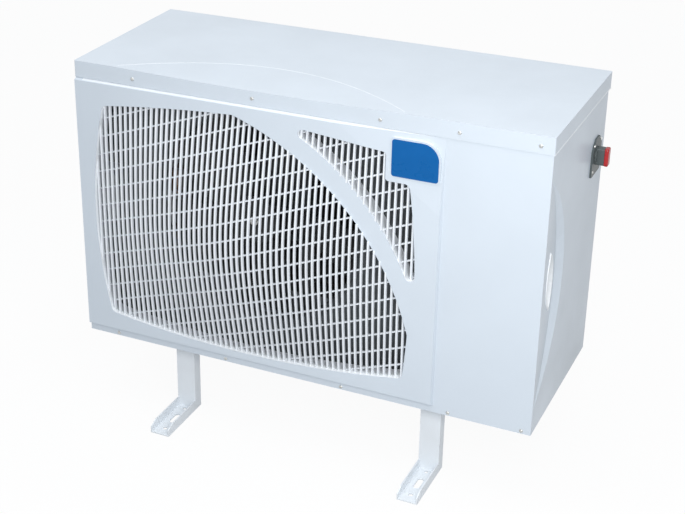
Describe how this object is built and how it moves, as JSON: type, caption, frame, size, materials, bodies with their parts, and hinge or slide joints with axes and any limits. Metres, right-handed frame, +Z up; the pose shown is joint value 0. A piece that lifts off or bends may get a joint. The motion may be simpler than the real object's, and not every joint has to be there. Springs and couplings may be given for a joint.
{
  "type": "condensing unit",
  "caption": "Housed refrigeration condensing unit with a domed front grille, fan, coil, compressor and a side isolator switch, standing on sheet-metal feet.",
  "frame": {"origin": "on the floor, at the centre of the four anchor holes in the feet", "axes": "+X to the right seen from the front, +Y towards the rear, +Z up"},
  "size_m": [1.1293, 0.626, 0.863],
  "materials": {
    "casing_paint": "satin",
    "grille_paint": "satin",
    "panel_moulding": "satin",
    "galvanised_steel": "satin",
    "foot_paint": "satin",
    "black_plastic": "matte",
    "dark_plastic": "matte",
    "isolator_grey": "satin",
    "knob_red": "gloss",
    "badge_blue": "gloss",
    "copper": "satin",
    "brass": "satin",
    "fin_aluminium": "satin",
    "compressor_paint": "gloss",
    "rubber": "matte",
    "zinc_steel": "satin"
  },
  "bodies": {
    "casing": {"badge_plate": "badge_blue", "base_pan": "casing_paint", "cable_gland": "dark_plastic", "coil_end_plates": "galvanised_steel", "coil_guard": "casing_paint", "compressor_foot_plate": "compressor_paint", "compressor_shell": "compressor_paint", "condensate_pipe": "copper", "condenser_fins": "fin_aluminium", "condenser_tubes": "copper", "control_box": "galvanised_steel", "control_box_cover": "galvanised_steel", "corner_post_left": "galvanised_steel", "corner_post_right": "galvanised_steel", "discharge_pipe": "copper", "fan_motor": "compressor_paint", "fan_orifice": "black_plastic", "filter_drier": "copper", "foot_front_left": "foot_paint", "foot_front_right": "foot_paint", "foot_rear_left": "foot_paint", "foot_rear_right": "foot_paint", "front_panel": "panel_moulding", "grille_cross_bars": "grille_paint", "grille_vertical_bars": "grille_paint", "handle_cup_left": "panel_moulding", "handle_cup_right": "panel_moulding", "isolator_plate": "isolator_grey", "isolator_switch": "dark_plastic", "left_side_panel": "casing_paint", "liquid_pipe_drier": "copper", "liquid_pipe_valve": "copper", "liquid_valve": "brass", "liquid_valve_cap": "brass", "motor_bracket": "galvanised_steel", "partition_panel": "galvanised_steel", "pressure_switch": "dark_plastic", "rear_panel": "casing_paint", "receiver": "compressor_paint", "receiver_strap": "galvanised_steel", "right_side_panel": "casing_paint", "rubber_grommets": "rubber", "sight_glass": "brass", "suction_pipe": "copper", "suction_valve": "brass", "suction_valve_cap": "brass", "terminal_cover": "dark_plastic", "top_cover": "casing_paint"},
    "fan_rotor": {"fan_impeller": "black_plastic", "fan_shaft": "zinc_steel", "fan_nut": "zinc_steel"},
    "isolator_handle": {"isolator_knob": "isolator_grey", "isolator_knob_cap": "knob_red"},
    "suction_spindle": {"suction_valve_spindle": "zinc_steel"},
    "liquid_spindle": {"liquid_valve_spindle": "zinc_steel"},
    "reset": {"reset_button": "knob_red"}
  },
  "joints": [
    {"name": "fan_spin", "type": "hinge", "parent": "casing", "child": "fan_rotor", "pos_m": [-0.155, -0.112, 0.505], "axis": [0, 1, 0], "continuous": true},
    {"name": "isolator_turn", "type": "hinge", "parent": "casing", "child": "isolator_handle", "pos_m": [0.552, 0.136, 0.697], "axis": [1, 0, 0], "range_deg": [0, 90]},
    {"name": "suction_valve_turn", "type": "hinge", "parent": "casing", "child": "suction_spindle", "pos_m": [0.45, 0.163, 0.29], "axis": [0, 0, 1], "range_deg": [0, 1800]},
    {"name": "liquid_valve_turn", "type": "hinge", "parent": "casing", "child": "liquid_spindle", "pos_m": [0.495, 0.163, 0.25], "axis": [0, 0, 1], "range_deg": [0, 1800]},
    {"name": "reset_press", "type": "slide", "parent": "casing", "child": "reset", "axis": [-1, 0, 0], "range_m": [0, 0.003], "stiffness_N_per_m": 800, "springref_m": -0.001}
  ]
}
